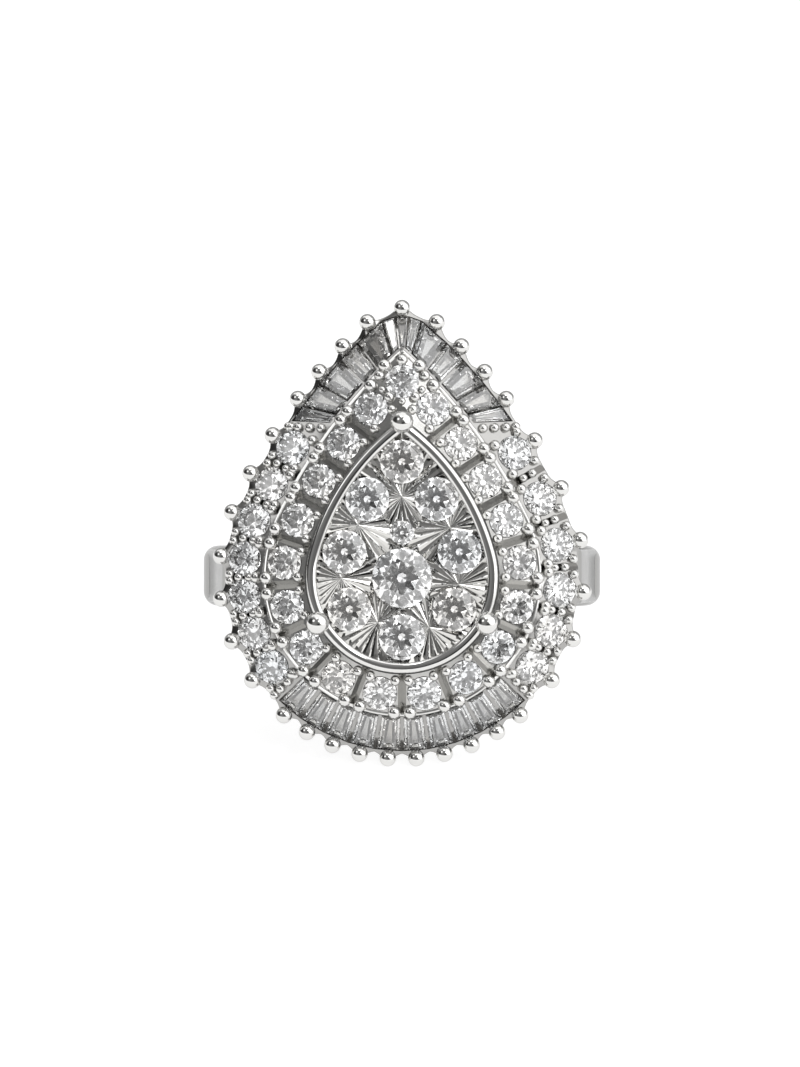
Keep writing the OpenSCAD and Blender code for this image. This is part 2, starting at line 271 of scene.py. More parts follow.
@dataclass(frozen=True)
class StoneLayout:
    """Where the stones of the two halos sit.

    Attributes:
        halo_count: Stones of the inner halo.
        halo_r: Round end of the outline on which they sit.
        halo_tip_y: How far up the stone at the tip sits.
        halo_d: Their diameter.
        right_flank: Length along the outline from the base to each round stone of the right flank.
        left_flank: The same on the left flank.
        side_r: Round end of the outline on which the flanks' stones sit.
        side_d: Their diameter.
        base_cells: Baguettes on each half of the fan under the round end.
        base_step: Angle between them, in degrees.
        tip_rail: Widths of the tip fan's cells at its edge, from the tip down.
        tip_step: Widths of the same cells at the step.
        cell_in: Round end of the outline at the inner ends of the baguettes.
        cell_out: Round end of the outline at their outer ends.
        tip_clear: How much further out the tip fan starts.
    """

    halo_count: int = 19
    halo_r: float = 5.88
    halo_tip_y: float = 9.7
    halo_d: float = 1.7
    right_flank: tuple[float, ...] = (7.6, 9.6, 11.7, 13.95, 16.4, 19.0)
    left_flank: tuple[float, ...] = (7.6, 9.5, 11.4, 13.25, 15.2, 17.2, 19.3)
    side_r: float = 7.86
    side_d: float = 1.74
    base_cells: int = 5
    base_step: float = 9.0
    tip_rail: tuple[float, ...] = (0.35, 0.7, 1.7, 1.25, 1.6, 1.4, 0.95)
    tip_step: tuple[float, ...] = (0.22, 0.44, 1.08, 0.96, 1.2, 0.85, 0.55)
    cell_in: float = 6.96
    cell_out: float = 8.66
    tip_clear: float = 0.1

    @property
    def halo_pitch(self) -> float:
        """Distance from one inner halo stone to the next."""
        return 2 * HALO.half_length(self.halo_r) / self.halo_count

    def halo(self) -> list[Place]:
        """Places the inner halo's round stones.

        Returns:
            Their spots, from the tip down the right and up the left.
        """
        height = LEVELS.inner(self.halo_r)
        half = self.halo_count // 2
        tip = Place(Vector((0, self.halo_tip_y, 0)), 90)
        right = [HALO.at(self.halo_r, self.halo_pitch * (half + 0.5 - i)) for i in range(1, half + 1)]
        left = [place.mirrored() for place in reversed(right)]
        return [Place(p.point, p.angle, height, LEVELS.inner_slope) for p in [tip, *right, *left]]

    def side(self, flank: Sequence[float]) -> list[Place]:
        """Places a flank's round stones.

        Args:
            flank: Length along the outline to each stone.

        Returns:
            Their spots, from the base up, as they lie on the right.
        """
        spots = [HALO.at(self.side_r, s) for s in flank]
        height = LEVELS.outer(self.side_r)
        return [Place(p.point, p.angle, height, LEVELS.outer_slope) for p in spots]

    def sides(self) -> list[Place]:
        """Spots of the round stones of both flanks."""
        return [*self.side(self.right_flank), *(p.mirrored() for p in self.side(self.left_flank))]

    def between_sides(self) -> list[Place]:
        """Spots half way between neighbouring round stones of both flanks."""
        right, left = ([(a + b) / 2 for a, b in zip(f, f[1:])] for f in (self.right_flank, self.left_flank))
        return [*self.side(right), *(p.mirrored() for p in self.side(left))]

    def base_edges(self) -> list[tuple[Vector, Vector]]:
        """Inner and outer end of each line between baguettes under the round end, anticlockwise."""
        angles = [self.base_step * i - 90 for i in range(-self.base_cells, self.base_cells + 1)]
        return [(polar(self.cell_in, a), polar(self.cell_out, a)) for a in angles]

    def tip_edges(self) -> list[tuple[Vector, Vector]]:
        """Draws the lines between the baguettes round the tip.

        Returns:
            Inner and outer end of each line, anticlockwise.
        """
        right = []
        for i in range(len(self.tip_rail)):
            rail = sum(self.tip_rail[: i + 1]) * self.cell_out / LEVELS.rail_r
            step = sum(self.tip_step[: i + 1])
            inner = HALO.from_tip(self.cell_in + self.tip_clear, step).point
            right.append((inner, ROUNDED.from_tip(self.cell_out, rail).point))
        left = [tuple(Vector((-p.x, p.y, 0)) for p in edge) for edge in right]
        return right[::-1] + left


STONES = StoneLayout()


@dataclass(frozen=True)
class Finish:
    """A surface finish, whose material is built once.

    Attributes:
        name: Material name.
    """

    name: str

    def material(self) -> bpy.types.Material:
        """Builds the material, or finds it if it is there already.

        Returns:
            The material.
        """
        made = bpy.data.materials.get(self.name)
        if made is None:
            made = bpy.data.materials.new(self.name)
            made.use_nodes = True
            self.paint(made.node_tree, made.node_tree.nodes["Principled BSDF"].inputs)
        return made

    def paint(self, tree: bpy.types.NodeTree, shader: bpy.types.NodeInputs) -> None:
        """Sets the shader's inputs and adds the nodes that feed them.

        Args:
            tree: The material's nodes.
            shader: Inputs of its shader.
        """
        raise NotImplementedError


def noise(
    tree: bpy.types.NodeTree, size: float, detail: float, stretch: Sequence[float] = (1.0, 1.0, 1.0),
) -> bpy.types.NodeSocket:
    """Adds noise in the object's own space.

    Args:
        tree: The nodes that it is added to.
        size: Size of its patches, in millimetres.
        detail: Its levels of detail.
        stretch: By how much it is denser along each axis.

    Returns:
        The socket with its value.
    """
    mapping = tree.nodes.new("ShaderNodeMapping")
    mapping.inputs["Scale"].default_value = stretch
    tree.links.new(tree.nodes.new("ShaderNodeTexCoord").outputs["Object"], mapping.inputs["Vector"])
    made = tree.nodes.new("ShaderNodeTexNoise")
    made.inputs["Scale"].default_value = 1 / (size * MM)
    made.inputs["Detail"].default_value = detail
    tree.links.new(mapping.outputs["Vector"], made.inputs["Vector"])
    return made.outputs["Fac"]


@dataclass(frozen=True)
class PolishedGold(Finish):
    """White gold, polished, with the faint hairlines and soft haze that wear leaves.

    Attributes:
        tint: Reflected colour.
        edge: How much of a glancing reflection is kept.
        roughness: Lowest and highest roughness of the polish.
        hairline: Strength of the fine scratches.
        grain: Size of the haze's patches, in millimetres.
        dull: Part of the tint that is left where the haze is thinnest.
        fine: How much finer the scratches are than the haze.
        drawn: By how much the scratches are denser along each axis.
        scratch_depth: Their depth, in millimetres.
    """

    tint: tuple[float, float, float] = (0.76, 0.755, 0.74)
    edge: float = 0.85
    roughness: tuple[float, float] = (0.04, 0.1)
    hairline: float = 0.03
    grain: float = 0.6
    dull: float = 0.93
    fine: float = 2.5
    drawn: tuple[float, float, float] = (1.0, 9.0, 3.0)
    scratch_depth: float = 0.02

    def paint(self, tree: bpy.types.NodeTree, shader: bpy.types.NodeInputs) -> None:
        """Varies tint and roughness with the haze, and scratches the surface.

        Args:
            tree: The material's nodes.
            shader: Inputs of its shader.
        """
        shader["Metallic"].default_value = 1.0
        shader["Specular Tint"].default_value = (self.edge, self.edge, self.edge, 1)
        haze = noise(tree, self.grain, 3.0)
        spread = tree.nodes.new("ShaderNodeMapRange")
        spread.inputs["To Min"].default_value, spread.inputs["To Max"].default_value = self.roughness
        tree.links.new(haze, spread.inputs["Value"])
        tree.links.new(spread.outputs["Result"], shader["Roughness"])
        tone = tree.nodes.new("ShaderNodeMix")
        tone.data_type = "RGBA"
        tone.inputs["A"].default_value = (*(c * self.dull for c in self.tint), 1)
        tone.inputs["B"].default_value = (*self.tint, 1)
        tree.links.new(haze, tone.inputs["Factor"])
        tree.links.new(tone.outputs["Result"], shader["Base Color"])
        bump = tree.nodes.new("ShaderNodeBump")
        bump.inputs["Strength"].default_value = self.hairline
        bump.inputs["Distance"].default_value = self.scratch_depth * MM
        tree.links.new(noise(tree, self.grain / self.fine, 5.0, self.drawn), bump.inputs["Height"])
        tree.links.new(bump.outputs["Normal"], shader["Normal"])


@dataclass(frozen=True)
class Diamond(Finish):
    """Colourless cut stone: clear, strongly refracting, with a tint that differs a little from stone to stone.

    Attributes:
        tints: Colours between which the stones vary.
        spread: Size of a patch of one tint, in millimetres.
        ior: Index of refraction.
        cloud: Share of the light that fine inclusions scatter.
        places: Levels of the noise at which the tints lie.
    """

    tints: tuple[tuple[float, float, float], ...] = ((0.93, 0.91, 0.88), (1.0, 1.0, 1.0), (0.93, 0.95, 0.97))
    spread: float = 2.0
    ior: float = 2.42
    cloud: float = 0.012
    places: tuple[float, float, float] = (0.35, 0.5, 0.65)

    def paint(self, tree: bpy.types.NodeTree, shader: bpy.types.NodeInputs) -> None:
        """Makes the shader clear and varies its tint.

        Args:
            tree: The material's nodes.
            shader: Inputs of its shader.
        """
        shader["Transmission Weight"].default_value = 1.0 - self.cloud
        shader["IOR"].default_value = self.ior
        shader["Roughness"].default_value = 0.0
        ramp = tree.nodes.new("ShaderNodeValToRGB")
        ends = ramp.color_ramp.elements
        ends[0].position, ends[1].position = self.places[0], self.places[2]
        ends[0].color, ends[1].color = (*self.tints[0], 1), (*self.tints[2], 1)
        ends.new(self.places[1]).color = (*self.tints[1], 1)
        tree.links.new(noise(tree, self.spread, 1.0), ramp.inputs["Fac"])
        tree.links.new(ramp.outputs["Color"], shader["Base Color"])


@dataclass(frozen=True)
class TableTop(Finish):
    """Pale matt table top that glows a little, so that it stays even and white.

    Attributes:
        glow: Strength of its glow.
        grey: Its colour.
        rough: Its roughness.
    """

    glow: float = 0.86
    grey: float = 0.3
    rough: float = 0.9

    def paint(self, tree: bpy.types.NodeTree, shader: bpy.types.NodeInputs) -> None:
        """Sets the shader's colour, roughness and glow.

        Args:
            tree: The material's nodes.
            shader: Inputs of its shader.
        """
        shader["Base Color"].default_value = (self.grey, self.grey, self.grey, 1)
        shader["Roughness"].default_value = self.rough
        shader["Emission Color"].default_value = (1, 1, 1, 1)
        shader["Emission Strength"].default_value = self.glow


BRIGHT = PolishedGold("polished white gold")
# Its darker tint and weaker glancing reflection are painted shade on the band and shoulders; its rougher polish
# and hairlines are wear.
BAND_WEAR_AND_PAINTED_SHADE = PolishedGold(
    "worn band polish with painted shade", tint=(0.56, 0.555, 0.54), edge=0.55, roughness=(0.1, 0.2), hairline=0.06, grain=0.9,
)
BRIGHT_CUT = PolishedGold(
    "bright-cut white gold", tint=(0.86, 0.855, 0.84), roughness=(0.02, 0.05), hairline=0.01, grain=0.4,
)
# Darker tint of the same white gold: painted shade in the recesses between the inner halo's stones.
PAINTED_SHADE_BETWEEN_STONES = PolishedGold(
    "white gold with painted shade between the stones", tint=(0.55, 0.545, 0.53), roughness=(0.1, 0.24), grain=0.3,
)
# Darker still: painted shade on the outer tier under the edge stones and in the baguettes' channels.
PAINTED_SHADE_UNDER_EDGE_STONES = PolishedGold(
    "white gold with painted shade under the edge stones", tint=(0.42, 0.415, 0.405), roughness=(0.08, 0.2), grain=0.3,
)
CLEAR = Diamond("clear diamond")
SOFT = Diamond(
    "soft grey diamond", tints=((0.92, 0.9, 0.87), (0.97, 0.97, 0.96), (0.9, 0.91, 0.92)), cloud=0.06,
)


def new_object(bm: bmesh.types.BMesh, name: str) -> bpy.types.Object:
    """Makes an object of a bmesh, still in the ring's own frame.

    Args:
        bm: The mesh, which is freed.
        name: Name of the object and its mesh.

    Returns:
        The linked object.
    """
    bmesh.ops.recalc_face_normals(bm, faces=bm.faces[:])
    mesh = bpy.data.meshes.new(name)
    bm.to_mesh(mesh)
    bm.free()
    made = bpy.data.objects.new(name, mesh)
    bpy.context.scene.collection.objects.link(made)
    return made


def carve(body: bpy.types.Object, tool: bpy.types.Object, cut: Cut) -> None:
    """Combines a body with a tool, which is kept.

    Args:
        body: The object that is changed.
        tool: The solid that it is combined with.
        cut: How they are combined.
    """
    modifier = body.modifiers.new("carve", "BOOLEAN")
    modifier.operation = cut.value
    modifier.object = tool
    modifier.solver = "EXACT"
    modifier.use_self = cut is Cut.AWAY
    graph = bpy.context.evaluated_depsgraph_get()
    carved = bpy.data.meshes.new_from_object(body.evaluated_get(graph))
    body.modifiers.clear()
    old = body.data
    body.data = carved
    bpy.data.meshes.remove(old)


def discard(tools: Iterable[bpy.types.Object]) -> None:
    """Removes objects that have done their work."""
    for tool in tools:
        bpy.data.meshes.remove(tool.data)


def carve_away(body: bpy.types.Object, tools: Sequence[bpy.types.Object]) -> None:
    """Cuts tools out of a body, one after the other, and removes them.

    Args:
        body: The object that is changed.
        tools: The solids that are cut out of it.
    """
    for tool in tools:
        carve(body, tool, Cut.AWAY)
    discard(tools)


def dress(body: bpy.types.Object, finish: PolishedGold, crease: float = 35.0) -> bpy.types.Object:
    """Lays a piece down in the row frame, shades it and gives it its finish.

    Args:
        body: The piece in the ring's own frame.
        finish: Its finish.
        crease: Angle in degrees over which an edge stays sharp.

    Returns:
        The same piece.
    """
    mesh = body.data
    mesh.transform(REST)
    mesh.shade_smooth()
    mesh.set_sharp_from_angle(angle=math.radians(crease))
    mesh.materials.clear()
    mesh.materials.append(finish.material())
    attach(body, "root")
    log.info("%s: %d faces", body.name, len(mesh.polygons))
    return body


def add_loop(bm: bmesh.types.BMesh, points: Loop) -> list[bmesh.types.BMEdge]:
    """Adds a closed loop of edges through the points and returns the edges."""
    verts = [bm.verts.new(p) for p in points]
    return [bm.edges.new((a, b)) for a, b in zip(verts, verts[1:] + verts[:1])]


def bridged(loops: Sequence[Loop], closed: bool, soft: float = 0.0) -> bmesh.types.BMesh:
    """Bridges loops one to the next.

    Args:
        loops: Loops of the same number of points.
        closed: True if the last meets the first, and False if the first and last are filled.
        soft: Width by which the loops' own edges are rounded.

    Returns:
        The closed mesh.
    """
    bm = bmesh.new()
    edges = [add_loop(bm, loop) for loop in loops]
    pairs = list(zip(edges, edges[1:]))
    if closed:
        pairs.append((edges[-1], edges[0]))
    for first, second in pairs:
        bmesh.ops.bridge_loops(bm, edges=first + second)
    if not closed:
        for end in (edges[0], edges[-1]):
            bmesh.ops.edgeloop_fill(bm, edges=end)
    bmesh.ops.recalc_face_normals(bm, faces=bm.faces[:])
    if soft:
        soften(bm, [edge for loop in edges for edge in loop], soft)
    return bm


def carried(
    pear: Pear, section: Sequence[tuple[float, float]], steps: int, soft: float = 0.0,
) -> bmesh.types.BMesh:
    """Carries a closed section round a pear.

    Args:
        pear: The pear's family of outlines.
        section: Round end and height of each corner of the section.
        steps: Points round the pear.
        soft: Width by which the section's corners are rounded.

    Returns:
        The closed mesh.
    """
    loops = [[raised(p, z) for p in pear.outline(r, steps)] for r, z in section]
    return bridged(loops, closed=True, soft=soft)


def pear_section(r: float, height: float, wire_r: float, sides: int) -> list[tuple[float, float]]:
    """Draws the round section of a wire that runs round a pear.

    Args:
        r: Round end of the outline that its middle follows.
        height: Height of its middle.
        wire_r: Radius of the wire.
        sides: Faces round the wire.

    Returns:
        Round end and height of each corner.
    """
    turns = [2 * math.pi * i / sides for i in range(sides)]
    return [(r + wire_r * math.cos(a), height + wire_r * math.sin(a)) for a in turns]


def extruded(bm: bmesh.types.BMesh, faces: Sequence[bmesh.types.BMFace]) -> list[bmesh.types.BMVert]:
    """Extrudes faces in place and returns their new corners, which are then moved."""
    grown = bmesh.ops.extrude_face_region(bm, geom=faces)["geom"]
    return [v for v in grown if isinstance(v, bmesh.types.BMVert)]


def prism(outline: Loop, low: float, high: float) -> bmesh.types.BMesh:
    """Extrudes an outline upwards.

    Args:
        outline: The outline.
        low: Height of its foot.
        high: Height of its top.

    Returns:
        The closed mesh.
    """
    bm = bmesh.new()
    face = bm.faces.new([bm.verts.new(raised(p, low)) for p in outline])
    bmesh.ops.translate(bm, verts=extruded(bm, [face]), vec=(0, 0, high - low))
    bmesh.ops.recalc_face_normals(bm, faces=bm.faces[:])
    return bm


def soften(
    bm: bmesh.types.BMesh, edges: Iterable[bmesh.types.BMEdge], offset: float, segments: int = 3,
) -> None:
    """Rounds edges with a bevel.

    Args:
        bm: The mesh.
        edges: Its edges to be rounded.
        offset: Width of the bevel.
        segments: Faces across the bevel.
    """
    bmesh.ops.bevel(
        bm, geom=list(edges), offset=offset, offset_type="OFFSET", segments=segments, profile=0.5,
        affect="EDGES", clamp_overlap=True, material=-1,
    )


def add_ball(bm: bmesh.types.BMesh, centre: Vector, radius: float, around: int) -> None:
    """Adds a ball.

    Args:
        bm: The mesh that it is added to.
        centre: Its middle.
        radius: Its radius.
        around: Number of faces round its equator.
    """
    rings = around * 3 // 5
    place = Matrix.Translation(centre)
    bmesh.ops.create_uvsphere(bm, u_segments=around, v_segments=rings, radius=radius, matrix=place)


def add_groove(bm: bmesh.types.BMesh, place: Matrix, length: float, width: float, depth: float) -> None:
    """Adds the tool of a V-shaped groove.

    Args:
        bm: The mesh that it is added to.
        place: The groove's middle, with its length along x and its opening towards z.
        length: Length of the groove.
        width: Width at its opening.
        depth: Depth of its bottom.
    """
    side = math.sqrt(0.5)
    scale = Matrix.Diagonal((length, width * side, 2 * depth * side, 1.0))
    bmesh.ops.create_cube(bm, size=1.0, matrix=place @ scale @ Matrix.Rotation(math.radians(45), 4, "X"))


def add_wire(bm: bmesh.types.BMesh, start: Vector, end: Vector, radius: float) -> None:
    """Adds a straight wire.

    Args:
        bm: The mesh that it is added to.
        start: Middle of its first end.
        end: Middle of its last end.
        radius: Its radius.
    """
    run = end - start
    turn = run.to_track_quat("Z", "Y").to_matrix().to_4x4()
    bmesh.ops.create_cone(
        bm, cap_ends=True, segments=16, radius1=radius, radius2=radius, depth=run.length,
        matrix=Matrix.Translation((start + end) / 2) @ turn,
    )


@dataclass(frozen=True)
class Seat:
    """Room for a round stone: its girdle, the cone under it and a hole through the metal.

    Attributes:
        diameter: The stone's.
        through: Radius of the hole, in diameters of the stone.
        steepness: Drop of the cone over its run.
        top: How far the room reaches up from the girdle.
        bottom: How far the hole reaches down.
        steps: Faces round the seat.
    """

    diameter: float
    through: float = 0.22
    steepness: float = 0.897
    top: float = 1.2
    bottom: float = 2.0
    steps: int = 40

    def tool(self, places: Iterable[Matrix]) -> bpy.types.Object:
        """Makes one tool of the seats at several places.

        Args:
            places: Where the middles of the stones' girdles are.

        Returns:
            The tool, made by full spins of the seat's section.
        """
        r = self.diameter / 2 + GAP
        hole = self.diameter * self.through
        drop = (r - hole) * self.steepness
        section = [
            (0, -self.bottom), (hole, -self.bottom), (hole, -drop), (r, 0), (r, self.top), (0, self.top),
        ]
        bm = bmesh.new()
        for place in places:
            others = set(bm.verts)
            verts = [bm.verts.new((x, 0, z)) for x, z in section]
            edges = [bm.edges.new(pair) for pair in zip(verts, verts[1:])]
            bmesh.ops.spin(
                bm, geom=verts + edges, cent=(0, 0, 0), axis=(0, 0, 1), angle=2 * math.pi,
                steps=self.steps, use_merge=True,
            )
            bmesh.ops.remove_doubles(bm, verts=[v for v in bm.verts if v not in others], dist=1e-4)
            bmesh.ops.transform(bm, matrix=place, verts=[v for v in bm.verts if v not in others])
        return new_object(bm, "seats")


@dataclass(frozen=True)
class Posts:
    """Spots of the edge posts, whose balls ring the head.

    Attributes:
        post_r: Round end of the outline on which the balls stand.
        tip_posts: Posts on each side of the one at the tip.
        tip_pitch: Distance between them.
    """

    post_r: float = 9.05
    tip_posts: int = 4
    tip_pitch: float = 1.72

    def half(self, flank: Sequence[float]) -> list[Place]:
        """Places the posts of one half.

        Args:
            flank: Length along the outline to each round stone of that half.

        Returns:
            Their spots, as they lie on the right, without the one at the tip.
        """
        base = [STONES.base_step * (i + 0.5) - 90 for i in range(STONES.base_cells)]
        spots = [Place(polar(self.post_r, a), a) for a in base]
        push = self.post_r - STONES.side_r
        spots += [Place(p.point + polar(push, p.angle), p.angle) for p in STONES.side(flank)]
        first = STONES.tip_rail[0] + STONES.tip_rail[1]
        reach = [first + (i + 0.5) * self.tip_pitch for i in range(self.tip_posts)]
        return spots + [ROUNDED.from_tip(self.post_r, s) for s in reach]

    def all(self) -> list[Place]:
        """Spots of every post."""
        left = [place.mirrored() for place in self.half(STONES.left_flank)]
        return [*self.half(STONES.right_flank), *left, ROUNDED.from_tip(self.post_r, 0)]


POSTS = Posts()


@dataclass
class Band:
    """Plain band, rounded outside and eased inside.

    Attributes:
        inside: Radius of the finger hole.
        outside: Outer radius.
        width: Width along the finger.
        corner: Rounding of the outer corners.
        ease: Rounding of the inner corners.
        steps: Faces round the band.
    """

    inside: float = 8.65
    outside: float = 10.2
    width: float = 3.1
    corner: float = 0.75
    ease: float = 0.12
    steps: int = 192

    def edges_at(self, bm: bmesh.types.BMesh, radius: float) -> list[bmesh.types.BMEdge]:
        """Finds the edges that run round the band.

        Args:
            bm: The band's mesh.
            radius: Radius at which they run.

        Returns:
            The edges.
        """
        found = []
        for edge in bm.edges:
            first, last = (vert.co for vert in edge.verts)
            off = [math.hypot(co.x, co.z) - radius for co in (first, last)] + [first.y - last.y]
            if max(map(abs, off)) < NEAR:
                found.append(edge)
        return found

    def build(self) -> bpy.types.Object:
        """Spins the section about the finger and rounds its corners.

        Returns:
            The dressed piece.
        """
        bm = bmesh.new()
        half = self.width / 2
        corners = [(self.inside, -half), (self.outside, -half), (self.outside, half), (self.inside, half)]
        verts = [bm.verts.new((x, y, 0)) for x, y in corners]
        edges = [bm.edges.new(pair) for pair in zip(verts, verts[1:] + verts[:1])]
        bmesh.ops.spin(
            bm, geom=verts + edges, cent=(0, 0, 0), axis=(0, 1, 0), angle=2 * math.pi, steps=self.steps,
            use_merge=True,
        )
        soften(bm, self.edges_at(bm, self.outside), self.corner, segments=8)
        soften(bm, self.edges_at(bm, self.inside), self.ease)
        # The band's darker tint is painted shade.
        return dress(new_object(bm, "band"), BAND_WEAR_AND_PAINTED_SHADE)


@dataclass
class Shoulders:
    """Bars from the band up to the gallery, one on each side of the finger.

    Attributes:
        width: Width along the finger.
        edge: Rounding of the edges.
        side: Corners of the side view of the one on the right.
    """

    width: float = 2.7
    edge: float = 0.15
    side: tuple[tuple[float, float], ...] = (
        (9.3, 1.5), (9.95, 1.9), (9, 9.4), (8.6, 10.9), (7.5, 10.95), (6.85, 10.6), (7.2, 8.6), (8.4, 5),
    )

    def build(self) -> bpy.types.Object:
        """Extrudes the side view across the band's width and eases its edges.

        Returns:
            The dressed piece.
        """
        bm = bmesh.new()
        for sign in (1, -1):
            face = bm.faces.new([bm.verts.new((sign * x, -self.width / 2, z)) for x, z in self.side])
            bmesh.ops.translate(bm, verts=extruded(bm, [face]), vec=(0, self.width, 0))
        bmesh.ops.recalc_face_normals(bm, faces=bm.faces[:])
        soften(bm, bm.edges[:], self.edge)
        # The shoulders' darker tint is painted shade.
        return dress(new_object(bm, "shoulders"), BAND_WEAR_AND_PAINTED_SHADE)


@dataclass
class Underframe:
    """Collet under the cluster and gallery wire under the edge.

    Attributes:
        collet_out: Round end of the collet's outside.
        collet_edge: Rounding of its edges.
        gallery_r: Round end of the outline that the wire follows.
        gallery_z: Height of the wire's middle.
        wire_r: Radius of the wire.
        wire_sides: Faces round the wire.
        steps: Points round the pear.
    """

    collet_out: float = 4.45
    collet_edge: float = 0.06
    gallery_r: float = 8.35
    gallery_z: float = 10.0
    wire_r: float = 0.33
    wire_sides: int = 12
    steps: int = 240

    def collet(self) -> bpy.types.Object:
        """Carries the collet's wall round the cluster's pear.

        Returns:
            The dressed piece.
        """
        wall = [
            (LEVELS.collet_r, LEVELS.foot), (self.collet_out, LEVELS.foot),
            (self.collet_out, LEVELS.ledge), (LEVELS.collet_r, LEVELS.ledge),
        ]
        return dress(new_object(carried(CLUSTER, wall, self.steps, self.collet_edge), "collet"), BRIGHT)

    def gallery(self) -> bpy.types.Object:
        """Carries a round section round the head's pear."""
        wire = pear_section(self.gallery_r, self.gallery_z, self.wire_r, self.wire_sides)
        return dress(new_object(carried(ROUNDED, wire, self.steps), "gallery_wire"), BRIGHT)


@dataclass
class EdgePosts:
    """Posts that lean out from the gallery wire, each with a ball on its end.

    Attributes:
        ball_r: Radius of a ball.
        ball_sides: Faces round its equator.
        wire: Radius of a post.
        rise: Height of a ball's middle over the tier's edge.
        inward: How far in from the ball the post's foot stands.
        foot: Height of the foot.
    """

    ball_r: float = 0.42
    ball_sides: int = 28
    wire: float = 0.21
    rise: float = 0.47
    inward: float = 0.7
    foot: float = 10.0

    def build(self) -> bpy.types.Object:
        """Sets a wire and a ball at each post's spot.

        Returns:
            The dressed piece.
        """
        bm = bmesh.new()
        height = LEVELS.outer(LEVELS.rail_r) + self.rise
        for place in POSTS.all():
            top = raised(place.point, height)
            bottom = raised(place.point - polar(self.inward, place.angle), self.foot)
            add_wire(bm, bottom, top, self.wire)
            add_ball(bm, top, self.ball_r, self.ball_sides)
        return dress(new_object(bm, "edge_posts"), BRIGHT)


@dataclass
class InnerTier:
    """Sloping tier of the inner halo, with a seat for each stone and grooves between them.

    Attributes:
        inner_r: Round end of the outline at its inner edge.
        thickness: Its thickness.
        edge: Rounding of its edges.
        groove: Width of a groove.
        groove_depth: Depth of a groove.
        groove_length: Length of a groove.
        clear: How far a tool reaches over the rim.
        steps: Points round the tier.
        tool_steps: Points round the moat and the collet's hole.
    """

    inner_r: float = 4.2
    thickness: float = 1.05
    edge: float = 0.05
    groove: float = 0.42
    groove_depth: float = 0.28
    groove_length: float = 3.0
    clear: float = 1.0
    steps: int = 320
    tool_steps: int = 160

    def grooves(self) -> bpy.types.Object:
        """Makes the radial grooves between neighbouring stones, all but the two beside the tip stone.

        Returns:
            The tool.
        """
        bm = bmesh.new()
        middle = (LEVELS.moat_r + LEVELS.step_r) / 2
        for i in range(STONES.halo_count // 2):
            spot = HALO.at(STONES.halo_r, STONES.halo_pitch * i)
            right = Place(spot.point, spot.angle, LEVELS.inner(middle), LEVELS.inner_slope)
            for place in (right, right.mirrored()) if i else (right,):
                add_groove(bm, place.matrix(), self.groove_length, self.groove, self.groove_depth)
        return new_object(bm, "grooves")

    def build(self) -> bpy.types.Object:
        """Carries the tier's section round, then cuts seats, grooves, moat and the collet's hole.

        Returns:
            The dressed piece.
        """
        low, high = LEVELS.inner(self.inner_r), LEVELS.inner(LEVELS.step_r)
        section = [
            (self.inner_r, low - self.thickness), (LEVELS.step_r, high - self.thickness),
            (LEVELS.step_r, high), (self.inner_r, low),
        ]
        tier = new_object(carried(HALO, section, self.steps, self.edge), "inner_tier")
        moat, hole = (CLUSTER.outline(r, self.tool_steps) for r in (LEVELS.moat_r, LEVELS.collet_r))
        top = LEVELS.rim + self.clear
        carve_away(tier, [
            Seat(STONES.halo_d).tool(p.matrix() for p in STONES.halo()), self.grooves(),
            new_object(prism(moat, LEVELS.ledge, top), "moat"),
            new_object(prism(hole, LEVELS.foot, top), "collet hole"),
        ])
        # The tier's darker tint is painted shade between the stones.
        return dress(tier, PAINTED_SHADE_BETWEEN_STONES)


